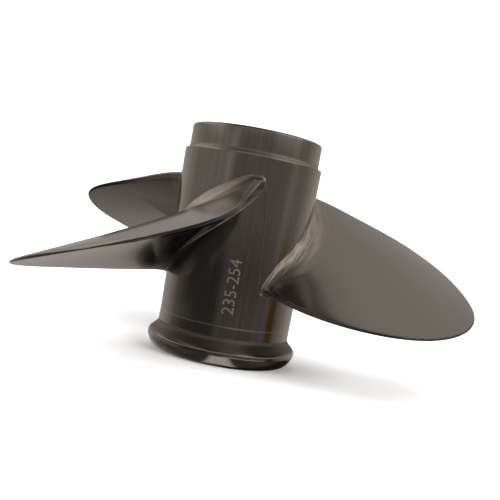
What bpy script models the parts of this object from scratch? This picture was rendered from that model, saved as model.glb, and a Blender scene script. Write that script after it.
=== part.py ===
"""Outboard-motor propeller with three right-hand blades and a through-hub exhaust.

The shaft runs along Z, +Z is forward, and the origin is the centre of the aft rim.
The propeller stands on that rim. Lengths are metres, angles are degrees.
"""

import math

import bmesh
import bpy
import numpy as np
from mathutils import Matrix

MM = 0.001
GAP = 0.3 * MM

# The turned barrel, a slight cone with its front spigot, and the flared ring behind it
BARREL_FRONT_RADIUS = 32.8 * MM
BARREL_AFT_RADIUS = 31.8 * MM
BARREL_BORE = 29.3 * MM
SPIGOT_RADIUS = 31.0 * MM
SPIGOT_TOP = 106.4 * MM
SPIGOT_EDGE = 1.2 * MM
SHOULDER_Z = 94.7 * MM
SEAM_Z = 17.9 * MM
RING_LIP_RADIUS = 35.9 * MM
RING_LIP_Z = 5.6 * MM
RING_FOOT_RADIUS = 32.0 * MM
RING_MOUTH_BEVEL = 1.0 * MM
FLARE_TOP_Z = 12.4 * MM
FLARE_FOOT_Z = 6.6 * MM

# The inner hub, its rubber bush and the splined sleeve, all on the shaft line
INNER_HUB_RADIUS = 20.3 * MM
INNER_HUB_BORE = 17.0 * MM
INNER_HUB_AFT = 24.0 * MM
INNER_HUB_FRONT = 95.5 * MM
INNER_HUB_BEVEL = 1.0 * MM
BUSH_AFT = 30.0 * MM
BUSH_FRONT = 91.5 * MM
BUSH_BEVEL = 1.0 * MM
SLEEVE_RADIUS = 11.0 * MM
SLEEVE_BORE = 7.2 * MM
SLEEVE_AFT = 27.0 * MM
SLEEVE_FRONT = 98.0 * MM
SLEEVE_BEVEL = 0.6 * MM
SPLINE_COUNT = 8
SPLINE_ROOT_RADIUS = 8.6 * MM
SPLINE_SLOT_WIDTH = 3.2 * MM
SLOT_START_RADIUS = 4.3 * MM
SLOT_OVERRUN = 2.0 * MM

# The webs that carry the inner hub inside the barrel
RIB_THICKNESS = 5.0 * MM
RIB_AFT = 28.0 * MM
RIB_FRONT = 90.5 * MM
RIB_ROUNDING = 2.0 * MM
FIRST_RIB_ANGLE = 90.0

# The blades. Every law runs over the span t, from 0 at the barrel to 1 at the tip, and a tuple holds
# its factors of 1, t, t squared and so on. Near the root each law bends over ROOT_REACH of the span.
BLADE_COUNT = 3
FIRST_BLADE_ANGLE = -11.3
TIP_RADIUS = 117.5 * MM
HALF_WIDTH = (49.6, -20.4, 5.6, 17.5)
TIP_ROUNDING = 2.34
SKEW = (0.0, 0.6, 13.0, 3.8, 1.0)
PITCH = (183.0 * MM, 41.2 * MM, -9.1 * MM)
PITCH_CURVE = 4.4 * MM
CURVE_ANGLE = 50.0
MID_Z = 57.0 * MM
ROOT_RADIUS = 32.6 * MM
RAKE = 9.2
RAKE_CURVE = 5.0 * MM
RAKE_LENGTH = 80.0 * MM
ROOT_REACH = 0.11
ROOT_NARROWING = 1.3
ROOT_SKEW = 1.6
ROOT_LIFT = 2.3 * MM
ROOT_PITCH_DROP = 14.7 * MM
THICKNESS = (7.9 * MM, -6.2 * MM)
LEADING_EDGE = (3.6 * MM, -2.1 * MM)
TRAILING_EDGE = 1.2 * MM
BACK_SHARE = 0.54
TIP_CLOSING = 8
SPAN_CROWDING = 1.7
TAPER_FADE = 3

# The ground fillet at the root: how far it reaches up the blade, how far it spreads over the barrel on
# the back, on the face and round the two edges, and how much of the spread is lost towards the edges
FILLET_REACH = 9.0 * MM
BACK_FILLET = 6.3 * MM
FACE_FILLET = 4.0 * MM
NOSE_FILLET = 1.0 * MM
TAIL_FILLET = 1.5 * MM
FILLET_THINNING = 0.7

ROUND_STEPS = 72
BORE_STEPS = 48
CHORD_STEPS = 16
SPAN_STEPS = 14
FILLET_HEIGHTS = (0.0, 0.04, 0.13, 0.3, 0.58, 1.0)
EDGE_STEPS = 6
SHARP_ANGLE = 50.0

OBJECT_NAME = "outboard_propeller"
CUTTERS_NAME = "cutters"


def clear_scene():
    """Remove every object, mesh and collection that is already there."""
    for old in list(bpy.data.objects):
        bpy.data.objects.remove(old, do_unlink=True)
    for old in list(bpy.data.collections):
        bpy.data.collections.remove(old)


def new_collection(name):
    """Make a collection under the scene's own."""
    made = bpy.data.collections.new(name)
    bpy.context.scene.collection.children.link(made)
    return made


def principled(name, colour, roughness, metallic):
    """Make a Principled material."""
    made = bpy.data.materials.new(name)
    made.use_nodes = True
    shader = made.node_tree.nodes["Principled BSDF"]
    shader.inputs["Base Color"].default_value = (*colour, 1.0)
    shader.inputs["Roughness"].default_value = roughness
    shader.inputs["Metallic"].default_value = metallic
    return made


def make_materials():
    """The four materials of the propeller."""
    return {
        "steel": principled("polished_stainless", (0.40, 0.37, 0.34), 0.12, 1.0),
        "cast": principled("cast_stainless", (0.30, 0.28, 0.26), 0.42, 1.0),
        "rubber": principled("bush_rubber", (0.02, 0.02, 0.02), 0.75, 0.0),
        "brass": principled("sleeve_brass", (0.62, 0.44, 0.20), 0.30, 1.0),
    }


def link(name, mesh, collection, material=None):
    """Put a mesh into the scene as a named object."""
    made = bpy.data.objects.new(name, mesh)
    collection.objects.link(made)
    if material is not None:
        mesh.materials.append(material)
    return made


def turned(name, profile, steps, collection, material):
    """Turn a closed (radius, height) profile round the shaft line with a Screw modifier."""
    mesh = bpy.data.meshes.new(name)
    points = [(radius, 0.0, height) for radius, height in profile]
    edges = [(i, (i + 1) % len(points)) for i in range(len(points))]
    mesh.from_pydata(points, edges, [])
    made = link(name, mesh, collection, material)
    screw = made.modifiers.new("turn", "SCREW")
    screw.axis = "Z"
    screw.steps = steps
    screw.render_steps = steps
    screw.use_merge_vertices = True
    screw.merge_threshold = 0.00001
    screw.use_smooth_shade = True
    return made


def arc(centre, radius, start, end, count):
    """Points of an arc in the (radius, height) plane, both ends included."""
    angles = np.radians(np.linspace(start, end, count))
    return [(centre[0] + radius * math.cos(a), centre[1] + radius * math.sin(a)) for a in angles]


def barrel_radius(height):
    """Radius of the barrel's slight cone at a height."""
    share = (height - SEAM_Z) / (SHOULDER_Z - SEAM_Z)
    return BARREL_AFT_RADIUS + (BARREL_FRONT_RADIUS - BARREL_AFT_RADIUS) * share


def barrel_profile():
    """The barrel's section: spigot, fillet in its step, shoulder, wall and bore."""
    step = BARREL_FRONT_RADIUS - SPIGOT_RADIUS
    edge = arc((SPIGOT_RADIUS - SPIGOT_EDGE, SPIGOT_TOP - SPIGOT_EDGE), SPIGOT_EDGE, 90.0, 0.0, 5)
    fillet = arc((SPIGOT_RADIUS + step, SHOULDER_Z + step), step, 180.0, 270.0, 4)
    wall = [(BARREL_AFT_RADIUS, SEAM_Z + GAP), (BARREL_BORE, SEAM_Z + GAP), (BARREL_BORE, SPIGOT_TOP)]
    return edge + fillet + wall


def flare_profile():
    """The ring's section: straight below the seam, then an S-shaped flare and a round lip."""
    reach = RING_LIP_RADIUS - BARREL_AFT_RADIUS
    outer = [(BARREL_AFT_RADIUS, SEAM_Z)]
    for step in np.linspace(0.0, 1.0, 8):
        swell = step * step * (3.0 - 2.0 * step)
        outer.append((BARREL_AFT_RADIUS + reach * swell, FLARE_TOP_Z + (FLARE_FOOT_Z - FLARE_TOP_Z) * step))
    outer.append((RING_LIP_RADIUS, RING_LIP_Z))
    lip_width = RING_LIP_RADIUS - RING_FOOT_RADIUS
    for turn in np.radians(np.linspace(0.0, 90.0, 7))[1:]:
        radius = RING_FOOT_RADIUS + lip_width * math.cos(turn)
        outer.append((radius, RING_LIP_Z * (1.0 - math.sin(turn))))
    bore = [
        (BARREL_BORE + RING_MOUTH_BEVEL, 0.0),
        (BARREL_BORE, RING_MOUTH_BEVEL),
        (BARREL_BORE, SEAM_Z),
    ]
    return outer + bore


def tube_profile(outer, inner, low, high, bevel):
    """The section of a tube whose outer edges are bevelled."""
    return [
        (outer - bevel, high),
        (outer, high - bevel),
        (outer, low + bevel),
        (outer - bevel, low),
        (inner, low),
        (inner, high),
    ]


def spline_cutter(collection):
    """The slots between the sleeve's splines, as one mesh of bars that stand clear of each other."""
    mesh = bpy.data.meshes.new("spline_slots")
    work = bmesh.new()
    depth = SPLINE_ROOT_RADIUS - SLOT_START_RADIUS
    middle = 0.5 * (SPLINE_ROOT_RADIUS + SLOT_START_RADIUS)
    height = SLEEVE_FRONT - SLEEVE_AFT + 2.0 * SLOT_OVERRUN
    for index in range(SPLINE_COUNT):
        turn = Matrix.Rotation(2.0 * math.pi * (index + 0.5) / SPLINE_COUNT, 4, "Z")
        shift = Matrix.Translation((middle, 0.0, 0.5 * (SLEEVE_FRONT + SLEEVE_AFT)))
        size = Matrix.Diagonal((depth, SPLINE_SLOT_WIDTH, height, 1.0))
        bmesh.ops.create_cube(work, size=1.0, matrix=turn @ shift @ size)
    work.to_mesh(mesh)
    work.free()
    made = link("spline_slots", mesh, collection)
    made.hide_render = True
    made.display_type = "WIRE"
    return made


def cut(target, cutter):
    """Cut one object by another with an exact Boolean."""
    boolean = target.modifiers.new("cut", "BOOLEAN")
    boolean.operation = "DIFFERENCE"
    boolean.solver = "EXACT"
    boolean.object = cutter


def rib(index, collection, material):
    """One web: a plain box from the inner hub to the barrel's bore, with bevelled long edges."""
    name = f"rib_{index + 1}"
    half = 0.5 * RIB_THICKNESS
    low = INNER_HUB_RADIUS + GAP
    high = math.sqrt((BARREL_BORE - GAP) ** 2 - half ** 2)
    mesh = bpy.data.meshes.new(name)
    work = bmesh.new()
    shift = Matrix.Translation((0.5 * (low + high), 0.0, 0.5 * (RIB_AFT + RIB_FRONT)))
    size = Matrix.Diagonal((high - low, RIB_THICKNESS, RIB_FRONT - RIB_AFT, 1.0))
    bmesh.ops.create_cube(work, size=1.0, matrix=shift @ size)
    ends = [e for e in work.edges if abs(e.verts[0].co.x - e.verts[1].co.x) > 0.5 * (high - low)]
    bmesh.ops.bevel(work, geom=ends, offset=RIB_ROUNDING, segments=3, affect="EDGES")
    work.to_mesh(mesh)
    work.free()
    made = link(name, mesh, collection, material)
    made.rotation_euler.z = math.radians(FIRST_RIB_ANGLE + 360.0 * index / BLADE_COUNT)
    return made


def law(factors, t):
    """Sum of the factors times the powers of t."""
    return sum(factor * t ** power for power, factor in enumerate(factors))


def half_angle(t):
    """Half of the blade's width in degrees at the span t."""
    width = law(HALF_WIDTH, t) - ROOT_NARROWING * np.exp(-t / ROOT_REACH)
    return width * np.sqrt(np.clip(1.0 - t ** TIP_ROUNDING, 0.0, 1.0))


def skew_angle(t):
    """How far the middle of the blade swings round, in degrees, at the span t."""
    return law(SKEW, t) - ROOT_SKEW * (1.0 - np.exp(-t / ROOT_REACH))


def helix_height(t, swing):
    """Height of the blade's own screw surface at the span t and the angle swing from the root line."""
    root = np.exp(-t / ROOT_REACH)
    reach = t * (TIP_RADIUS - ROOT_RADIUS)
    pitch = law(PITCH, t) - ROOT_PITCH_DROP * root
    height = MID_Z + ROOT_LIFT * root + pitch * swing / 360.0
    height = height + PITCH_CURVE * (1.0 - root) * (swing / CURVE_ANGLE) ** 2
    return height - math.tan(math.radians(RAKE)) * reach - RAKE_CURVE * (reach / RAKE_LENGTH) ** 2


def thickness(t, chord):
    """Blade thickness: full in the middle of the chord, blunt at the leading edge, thin at the trailing."""
    edge = TRAILING_EDGE + (law(LEADING_EDGE, t) - TRAILING_EDGE) * (0.5 + 0.5 * chord) ** 3
    full = np.maximum(law(THICKNESS, t) - edge, 0.0)
    return (edge + full * np.sqrt(1.0 - chord ** 2)) * np.sqrt(1.0 - t ** TIP_CLOSING)


def span_rows():
    """Where the blade's rows stand, t from 0 to 1, and the share of the root fillet's spread at each.

    The share falls along a quarter of an ellipse, from 1 on the barrel to 0 at the fillet's reach.
    """
    full = TIP_RADIUS - ROOT_RADIUS
    foot = FILLET_REACH / full * np.array(FILLET_HEIGHTS)
    rise = np.linspace(0.0, 1.0, SPAN_STEPS + 1)[1:]
    span = np.concatenate([foot, foot[-1] + (1.0 - foot[-1]) * (1.0 - (1.0 - rise) ** SPAN_CROWDING)])
    left = np.clip(1.0 - span * full / FILLET_REACH, 0.0, 1.0)
    return span[:, None], 1.0 - np.sqrt(1.0 - left ** 2)[:, None]


def blade_points(chord, side):
    """Points of the blade's back (side 1) or face (side 0) on a grid of span rows and chord places.

    Both lie off a screw surface that droops aft towards the tip. The fillet spreads both skins, less
    towards the edges, and pushes the edges out along the chord.
    """
    t, share = span_rows()
    chord = np.asarray(chord)[None, :]
    radius = ROOT_RADIUS + (TIP_RADIUS - ROOT_RADIUS) * t
    run = np.hypot(radius, PITCH[0] / (2.0 * math.pi))
    push = share * np.where(chord > 0.0, NOSE_FILLET, TAIL_FILLET)
    swing = skew_angle(t) + (half_angle(t) + np.degrees(push / run)) * chord
    sign = 1.0 if side else -1.0
    spread = share * (BACK_FILLET if side else FACE_FILLET) * (1.0 - FILLET_THINNING * chord ** 2)
    part = BACK_SHARE if side else 1.0 - BACK_SHARE
    offset = sign * (part * thickness(t, chord) + spread)
    helix = np.arctan2(PITCH[0], 2.0 * math.pi * radius)
    angle = np.radians(swing) - offset * np.sin(helix) / radius
    return cylindrical(radius, angle, helix_height(t, swing) + offset * np.cos(helix))


def cylindrical(radius, angle, height):
    """Turn radius, angle and height arrays into points."""
    return np.stack([radius * np.cos(angle), radius * np.sin(angle), height], axis=-1)


def rounded_edge(face, back, forward):
    """Half-round strip from the face's edge to the back's, one row of points for each span row."""
    t, _ = span_rows()
    step = np.linspace(0.0, 1.0, EDGE_STEPS + 1)[None, :, None]
    line = face[:, None, :] * (1.0 - step) + back[:, None, :] * step
    radius = np.linalg.norm(face[:, :2], axis=1)[:, None]
    helix = np.arctan2(PITCH[0], 2.0 * math.pi * radius)
    half = 0.5 * np.linalg.norm(back - face, axis=1)[:, None]
    push = forward * half * np.sin(math.pi * step[..., 0]) * np.sqrt(1.0 - t ** TIP_CLOSING)
    angle = np.arctan2(line[..., 1], line[..., 0]) + push * np.cos(helix) / radius
    return cylindrical(radius, angle, line[..., 2] + push * np.sin(helix))


def on_cone(points):
    """Shift points of the blade out or in, so that its root follows the barrel's cone."""
    radius = np.linalg.norm(points[..., :2], axis=-1)
    left = np.clip((TIP_RADIUS - radius) / (TIP_RADIUS - ROOT_RADIUS), 0.0, 1.0)
    shift = (barrel_radius(points[..., 2]) + GAP - ROOT_RADIUS) * left ** TAPER_FADE
    return points * np.stack([1.0 + shift / radius] * 2 + [np.ones_like(shift)], axis=-1)


def add_skin(work, points):
    """Add a grid of points as quads."""
    rows = [[work.verts.new(point) for point in row] for row in points]
    for low, high in zip(rows[:-1], rows[1:]):
        for i in range(len(low) - 1):
            work.faces.new((low[i], high[i], high[i + 1], low[i + 1]))


def blade_mesh():
    """Loft the first blade from the barrel to its tip, with the fillet at its root."""
    chord = np.sin(np.linspace(-0.5 * math.pi, 0.5 * math.pi, CHORD_STEPS + 1))
    face = blade_points(chord, 0)
    back = blade_points(chord, 1)
    trailing = rounded_edge(face[:, 0], back[:, 0], -1.0)
    leading = rounded_edge(face[:, -1], back[:, -1], 1.0)
    step = np.linspace(0.0, 1.0, EDGE_STEPS + 1)[:, None, None]
    root = face[0][None] * (1.0 - step) + back[0][None] * step
    angle = np.arctan2(root[..., 1], root[..., 0])
    root = cylindrical(ROOT_RADIUS, angle, root[..., 2])
    root[:, 0] = trailing[0]
    root[:, -1] = leading[0]
    work = bmesh.new()
    for points in (face, back, trailing, leading, root):
        add_skin(work, on_cone(points))
    bmesh.ops.remove_doubles(work, verts=work.verts, dist=0.01 * MM)
    bmesh.ops.recalc_face_normals(work, faces=work.faces)
    mesh = bpy.data.meshes.new("blade")
    work.to_mesh(mesh)
    work.free()
    mesh.shade_smooth()
    mesh.set_sharp_from_angle(angle=math.radians(SHARP_ANGLE))
    return mesh


def main():
    clear_scene()
    parts = new_collection(OBJECT_NAME)
    cutters = new_collection(CUTTERS_NAME)
    looks = make_materials()
    turned("hub_barrel", barrel_profile(), ROUND_STEPS, parts, looks["steel"])
    turned("diffuser_ring", flare_profile(), ROUND_STEPS, parts, looks["steel"])
    hub = tube_profile(INNER_HUB_RADIUS, INNER_HUB_BORE, INNER_HUB_AFT, INNER_HUB_FRONT, INNER_HUB_BEVEL)
    turned("inner_hub", hub, BORE_STEPS, parts, looks["cast"])
    bush = tube_profile(INNER_HUB_BORE - GAP, SLEEVE_RADIUS + GAP, BUSH_AFT, BUSH_FRONT, BUSH_BEVEL)
    turned("rubber_bush", bush, BORE_STEPS, parts, looks["rubber"])
    sleeve = tube_profile(SLEEVE_RADIUS, SLEEVE_BORE, SLEEVE_AFT, SLEEVE_FRONT, SLEEVE_BEVEL)
    cut(turned("splined_sleeve", sleeve, BORE_STEPS, parts, looks["brass"]), spline_cutter(cutters))
    for index in range(BLADE_COUNT):
        rib(index, parts, looks["cast"])
    mesh = blade_mesh()
    mesh.materials.append(looks["steel"])
    for index in range(BLADE_COUNT):
        blade = link(f"blade_{index + 1}", mesh, parts)
        blade.rotation_euler.z = math.radians(FIRST_BLADE_ANGLE + 360.0 * index / BLADE_COUNT)


main()
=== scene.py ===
"""Polished stainless outboard propeller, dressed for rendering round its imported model."""
import math

import bmesh
import bpy
import numpy as np
from bpy.props import FloatProperty, FloatVectorProperty, IntProperty, PointerProperty, StringProperty
from mathutils import Matrix, Vector


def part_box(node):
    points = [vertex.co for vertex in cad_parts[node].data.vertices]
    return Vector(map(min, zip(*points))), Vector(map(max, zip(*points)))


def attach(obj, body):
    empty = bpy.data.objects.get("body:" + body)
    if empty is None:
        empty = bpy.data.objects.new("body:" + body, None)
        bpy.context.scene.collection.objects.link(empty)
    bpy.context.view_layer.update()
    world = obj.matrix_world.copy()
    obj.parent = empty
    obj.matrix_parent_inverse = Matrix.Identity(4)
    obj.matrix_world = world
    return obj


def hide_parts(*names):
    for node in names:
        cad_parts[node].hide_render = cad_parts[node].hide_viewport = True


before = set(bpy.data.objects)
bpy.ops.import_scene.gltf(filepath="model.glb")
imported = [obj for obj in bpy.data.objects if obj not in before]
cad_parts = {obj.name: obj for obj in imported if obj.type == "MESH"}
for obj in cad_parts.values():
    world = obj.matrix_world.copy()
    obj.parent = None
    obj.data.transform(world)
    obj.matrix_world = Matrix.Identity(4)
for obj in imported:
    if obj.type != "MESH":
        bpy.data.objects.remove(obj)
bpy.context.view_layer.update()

bl_info = {
    "name": "Outboard Propeller",
    "version": (1, 0, 0),
    "blender": (4, 5, 0),
    "location": "View3D > Sidebar > Propeller",
    "description": "Builds a polished three-blade outboard propeller and its studio",
    "category": "Add Mesh",
}

BODY = "root"
MM = 0.001
# The solids stand this far apart, and the pieces of the scene close the gap
SKIN_GAP = 0.3 * MM
# Points closer than this are merged where patches meet
WELD = 0.002 * MM


def node_reach(node):
    """Lowest height, greatest height and greatest radius of a CAD node, from its box."""
    low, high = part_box(node)
    return low.z, high.z, max(high.x, high.y, -low.x, -low.y)


BARREL_AFT, SPIGOT_TOP, BARREL_RADIUS = node_reach("hub_barrel")
RING_AFT, SEAM_Z, RING_LIP_RADIUS = node_reach("diffuser_ring")
CORE_AFT, CORE_FRONT, CORE_RADIUS = node_reach("inner_hub")
BUSH_AFT, BUSH_FRONT, BUSH_RADIUS = node_reach("rubber_bush")
SLEEVE_AFT, SLEEVE_FRONT, SLEEVE_RADIUS = node_reach("splined_sleeve")
WEB_AFT, WEB_FRONT, _ = node_reach("rib_1")


def length(name, description, value):
    """A length property, given in millimetres."""
    return FloatProperty(name=name, description=description, default=value * MM, subtype="DISTANCE")


def bearing(name, description, value):
    """An angle property, given in degrees."""
    return FloatProperty(name=name, description=description, default=math.radians(value), subtype="ANGLE")


def ratio(name, description, value):
    """A share of something else, from 0 to 1."""
    return FloatProperty(name=name, description=description, default=value, subtype="FACTOR")


def paint(name, description, value):
    """A colour property."""
    return FloatVectorProperty(name=name, description=description, default=value, subtype="COLOR")


class HubSizes(bpy.types.PropertyGroup):
    """Sizes of everything that is turned round the shaft line."""

    mark_text: StringProperty(
        name="Size mark", description="Plain number etched on the barrel", default="235-254")
    mark_z: length("Mark height", "Where the number starts", 24.0)
    mark_length: length("Mark length", "Length of the number", 24.6)
    mark_height: length("Letter height", "Height of the digits", 5.4)
    mark_depth: length("Mark depth", "How far the digits stand off and reach in", 0.05)
    mark_angle: bearing("Mark angle", "Angle of the number's base line", 275.6)

    aft_radius: length("Barrel aft radius", "Outside of the barrel at the seam", 31.8)
    spigot_radius: length("Spigot radius", "Outside of the front spigot", 31.0)
    shoulder_z: length("Shoulder height", "Where the barrel steps down to the spigot", 94.7)
    bore: length("Barrel bore", "Inside radius of the barrel", 29.3)
    edge: length("Spigot edge", "Rounding of the spigot's front edge", 1.2)
    lip_z: length("Lip height", "Height of the ring's widest line", 5.6)
    flare_top: length("Flare top", "Height where the ring starts to flare", 12.4)
    flare_foot: length("Flare foot", "Height where the flare reaches the lip", 6.6)
    foot_radius: length("Foot radius", "Where the ring starts to round up from the bench", 32.0)
    lip_power: FloatProperty(name="Lip power", description="1 is a round lip, 2 a straight one", default=1.4)
    core_bore: length("Inner hub bore", "Inside radius of the inner hub", 17.0)
    web_thickness: length("Web thickness", "Thickness of the webs inside the barrel", 5.0)
    web_fillet: length("Web fillet", "Spread of each web at the hub and the barrel", 2.2)
    spline_count: IntProperty(name="Splines", description="Slots round the sleeve's bore", default=8)
    spline_top: length("Spline top radius", "Bore across the spline teeth", 7.2)
    spline_root: length("Spline root radius", "Bore across the slots", 8.6)
    spline_width: length("Slot width", "Width of one spline slot", 3.2)


class BladeSizes(bpy.types.PropertyGroup):
    """Sizes of the blades. Root terms fade out over the root reach, a share of the span."""

    count: IntProperty(name="Blades", description="How many blades", default=3)
    first_angle: bearing("First blade", "Angle of the first root", -11.3)
    root_radius: length("Root radius", "Radius where the span starts", 32.6)
    tip_radius: length("Tip radius", "Radius of the circle through the tips", 117.5)
    pitch: length("Root pitch", "Advance in one turn at the root", 183.0)
    pitch_gain: length("Pitch gain", "How much the pitch grows along the span", 41.2)
    pitch_loss: length("Pitch loss", "How much of that gain the tip gives back", 9.1)
    pitch_curve: length("Pitch curve", "Rise of both edges over the straight screw", 4.4)
    mid_z: length("Root height", "Height of the middle of the blade at the root", 57.0)
    rake: bearing("Rake", "Droop of the blade towards the tip", 9.2)
    rake_curve: length("Rake curve", "Extra droop at the bend reach", 5.0)
    bend_reach: length("Bend reach", "How far out the rake curve is measured", 80.0)
    root_reach: ratio("Root reach", "Span over which root terms fade", 0.11)
    root_lift: length("Root lift", "Extra height at the root", 2.3)
    root_pitch_drop: length("Root pitch drop", "Less pitch at the root", 14.7)
    thickness: length("Root thickness", "Thickness at the root", 7.9)
    thinning: length("Thinning", "How much thinner the tip is", 6.2)
    nose: length("Leading edge", "Thickness of the leading edge at the root", 3.6)
    nose_thinning: length("Leading edge thinning", "How much thinner it is at the tip", 2.1)
    tail: length("Trailing edge", "Thickness of the trailing edge", 1.2)
    back_share: ratio("Back share", "Share of the thickness on the back", 0.54)
    nose_angle: bearing("Nose angle", "Where the first parting ridge starts", 281.0)
    nose_z: length("Nose height", "Where the parting ridges start", 84.0)
    ridge_drop: length("Ridge drop", "How far the parting ridges run down", 46.0)
    ridge_swing: bearing("Ridge swing", "How far a ridge swings round", 11.0)
    fillet_reach: length("Fillet reach", "How far the ground fillet reaches up the blade", 9.0)
    back_fillet: length("Back fillet", "Spread of the fillet over the barrel on the back", 6.3)
    face_fillet: length("Face fillet", "Spread of the fillet over the barrel on the face", 4.0)
    nose_fillet: length("Nose fillet", "Spread of the fillet round the leading edge", 0.4)
    tail_fillet: length("Tail fillet", "Spread of the fillet round the trailing edge", 1.5)
    fillet_thinning: ratio("Fillet thinning", "Share of the fillet lost at the edges", 0.7)
    nose_loss: ratio("Nose loss", "Share of the back fillet lost at the leading edge", 0.5)


class FinishColours(bpy.types.PropertyGroup):
    """Colours of the finishes."""

    steel: paint("Polished steel", "Tint of the polished metal", (0.40, 0.37, 0.345))
    steel_light: paint("Light steel", "Tint of the lighter polishing marks", (0.45, 0.41, 0.39))
    steel_warm: paint("Warm steel", "Tint of the warmer clouds on the blades", (0.43, 0.375, 0.35))
    steel_green: paint("Green steel", "Tint of the greyer polishing marks", (0.36, 0.36, 0.33))
    # The ground tint is lighter than the polished steel as painted sheen on the fillets and painted
    # highlight on the seam
    ground: paint("Ground steel", "Tint of the ground fillets", (0.72, 0.67, 0.61))
    mark: paint("Size mark", "Tint of the etched size", (0.14, 0.106, 0.08))
    cast: paint("Cast steel", "Tint of the metal inside the barrel", (0.26, 0.245, 0.23))
    rubber: paint("Rubber", "Colour of the bush", (0.018, 0.018, 0.019))
    brass: paint("Brass", "Tint of the splined sleeve", (0.55, 0.40, 0.19))
    floor: paint("Floor", "Colour of the bench", (0.86, 0.86, 0.86))


def joined(operation, reflected=False):
    """A method that joins a socket and another value with a Math node."""
    def method(self, other):
        return self._math(operation, *((other, self) if reflected else (self, other)))

    return method


class Sock:
    """A shader socket that adds Math nodes when it is used in an expression."""

    def __init__(self, tree, socket):
        self.tree = tree
        self.socket = socket

    def _math(self, operation, *values):
        return self.tree.node("ShaderNodeMath", {"operation": operation}, dict(enumerate(values)))

    __add__, __radd__ = joined("ADD"), joined("ADD", True)
    __sub__, __rsub__ = joined("SUBTRACT"), joined("SUBTRACT", True)
    __mul__, __rmul__ = joined("MULTIPLY"), joined("MULTIPLY", True)
    __truediv__, __pow__ = joined("DIVIDE"), joined("POWER")

    def absolute(self):
        return self._math("ABSOLUTE", self)

    def clamp(self):
        return self.tree.node("ShaderNodeClamp", {}, {0: self})

    def near(self, level, width, gain=1.0):
        """The gain at the level, falling to 0 at the width on both sides."""
        return (1.0 - (self - level).absolute() / width).clamp() * gain

    def above(self, level, soft=0.001, gain=1.0):
        """0 below the level and the gain above it, with a soft step."""
        return ((self - level) / soft + 0.5).clamp() * gain

    def below(self, level, soft=0.001):
        """1 below the level and 0 above it, with a soft step."""
        return 1.0 - self.above(level, soft)

    def contrast(self, gain, middle=0.5):
        """A 0 to 1 pattern with its slope raised round the middle."""
        return ((self - 0.5) * gain + middle).clamp()


class Tree:
    """A node tree that makes nodes by type, settings and socket values."""

    def __init__(self, owner):
        owner.use_nodes = True
        self.nodes = owner.node_tree.nodes
        self.links = owner.node_tree.links

    def plug(self, target, value):
        if isinstance(value, Sock):
            self.links.new(value.socket, target)
        else:
            target.default_value = value

    def make(self, kind, settings=None, sockets=None):
        made = self.nodes.new(kind)
        for key, value in (settings or {}).items():
            setattr(made, key, value)
        for key, value in (sockets or {}).items():
            self.plug(made.inputs[key], value)
        return made

    def node(self, kind, settings=None, sockets=None, output=0):
        return Sock(self, self.make(kind, settings, sockets).outputs[output])

    def place(self):
        return self.node("ShaderNodeTexCoord", output="Object")

    def axes(self, vector):
        split = self.make("ShaderNodeSeparateXYZ", {}, {0: vector})
        return [Sock(self, socket) for socket in split.outputs]

    def vector(self, x, y, z):
        return self.node("ShaderNodeCombineXYZ", {}, {0: x, 1: y, 2: z})

    def noise(self, vector, scale=1.0, detail=3.0, roughness=0.5):
        sockets = {"Vector": vector, "Scale": scale, "Detail": detail, "Roughness": roughness}
        return self.node("ShaderNodeTexNoise", {}, sockets)

    def blend(self, factor, first, second):
        """Mix two colours by a factor."""
        made = self.make("ShaderNodeMix", {"data_type": "RGBA"})
        for key, value in ((0, factor), (6, first), (7, second)):
            self.plug(made.inputs[key], value)
        return Sock(self, made.outputs[2])

    def bump(self, height, strength, distance):
        sockets = {"Height": height, "Strength": strength, "Distance": distance}
        return self.node("ShaderNodeBump", {}, sockets)


def colour(values, gain=1.0):
    """An RGBA tuple from an RGB one."""
    return tuple(min(1.0, gain * value) for value in values) + (1.0,)


def shades(tree, factor, values, dark, light):
    """One tint from its dark gain to its light one by a factor."""
    return tree.blend(factor, colour(values, dark), colour(values, light))


def finish(sockets):
    """Make a material of one Principled shader from a function that gives the shader's inputs.

    The function is called with the tree and the colours, and the material has its name.
    """
    def make():
        made = bpy.data.materials.new(sockets.__name__)
        tree = Tree(made)
        shader = tree.nodes["Principled BSDF"]
        for key, value in sockets(tree, bpy.context.scene.finish_colours).items():
            tree.plug(shader.inputs[key], value)
        return made

    return make


def round_place(tree):
    """Distance round the shaft line, radius and height of a point, in metres."""
    x, y, z = tree.axes(tree.place())
    radius = (x * x + y * y) ** 0.5
    angle = tree.node("ShaderNodeMath", {"operation": "ARCTAN2"}, {0: y, 1: x})
    return angle, radius, z


def parting_line(tree, angle, z):
    """1 on the fine ridge that runs down the barrel from each blade's nose to the next blade's tail.

    Its angle is the nose's plus the ridge's swing times the power 0.6 of how far it has come down.
    """
    blade = bpy.context.scene.blade_sizes
    down = ((blade.nose_z - z) / blade.ridge_drop).clamp()
    off = angle - blade.nose_angle - (down ** 0.6) * blade.ridge_swing
    half = math.pi / blade.count
    off = tree.node("ShaderNodeMath", {"operation": "WRAP"}, {0: off, 1: half, 2: -half})
    return off.near(0.0, width=0.009) * z.above(blade.nose_z - blade.ridge_drop) * z.below(blade.nose_z)


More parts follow.
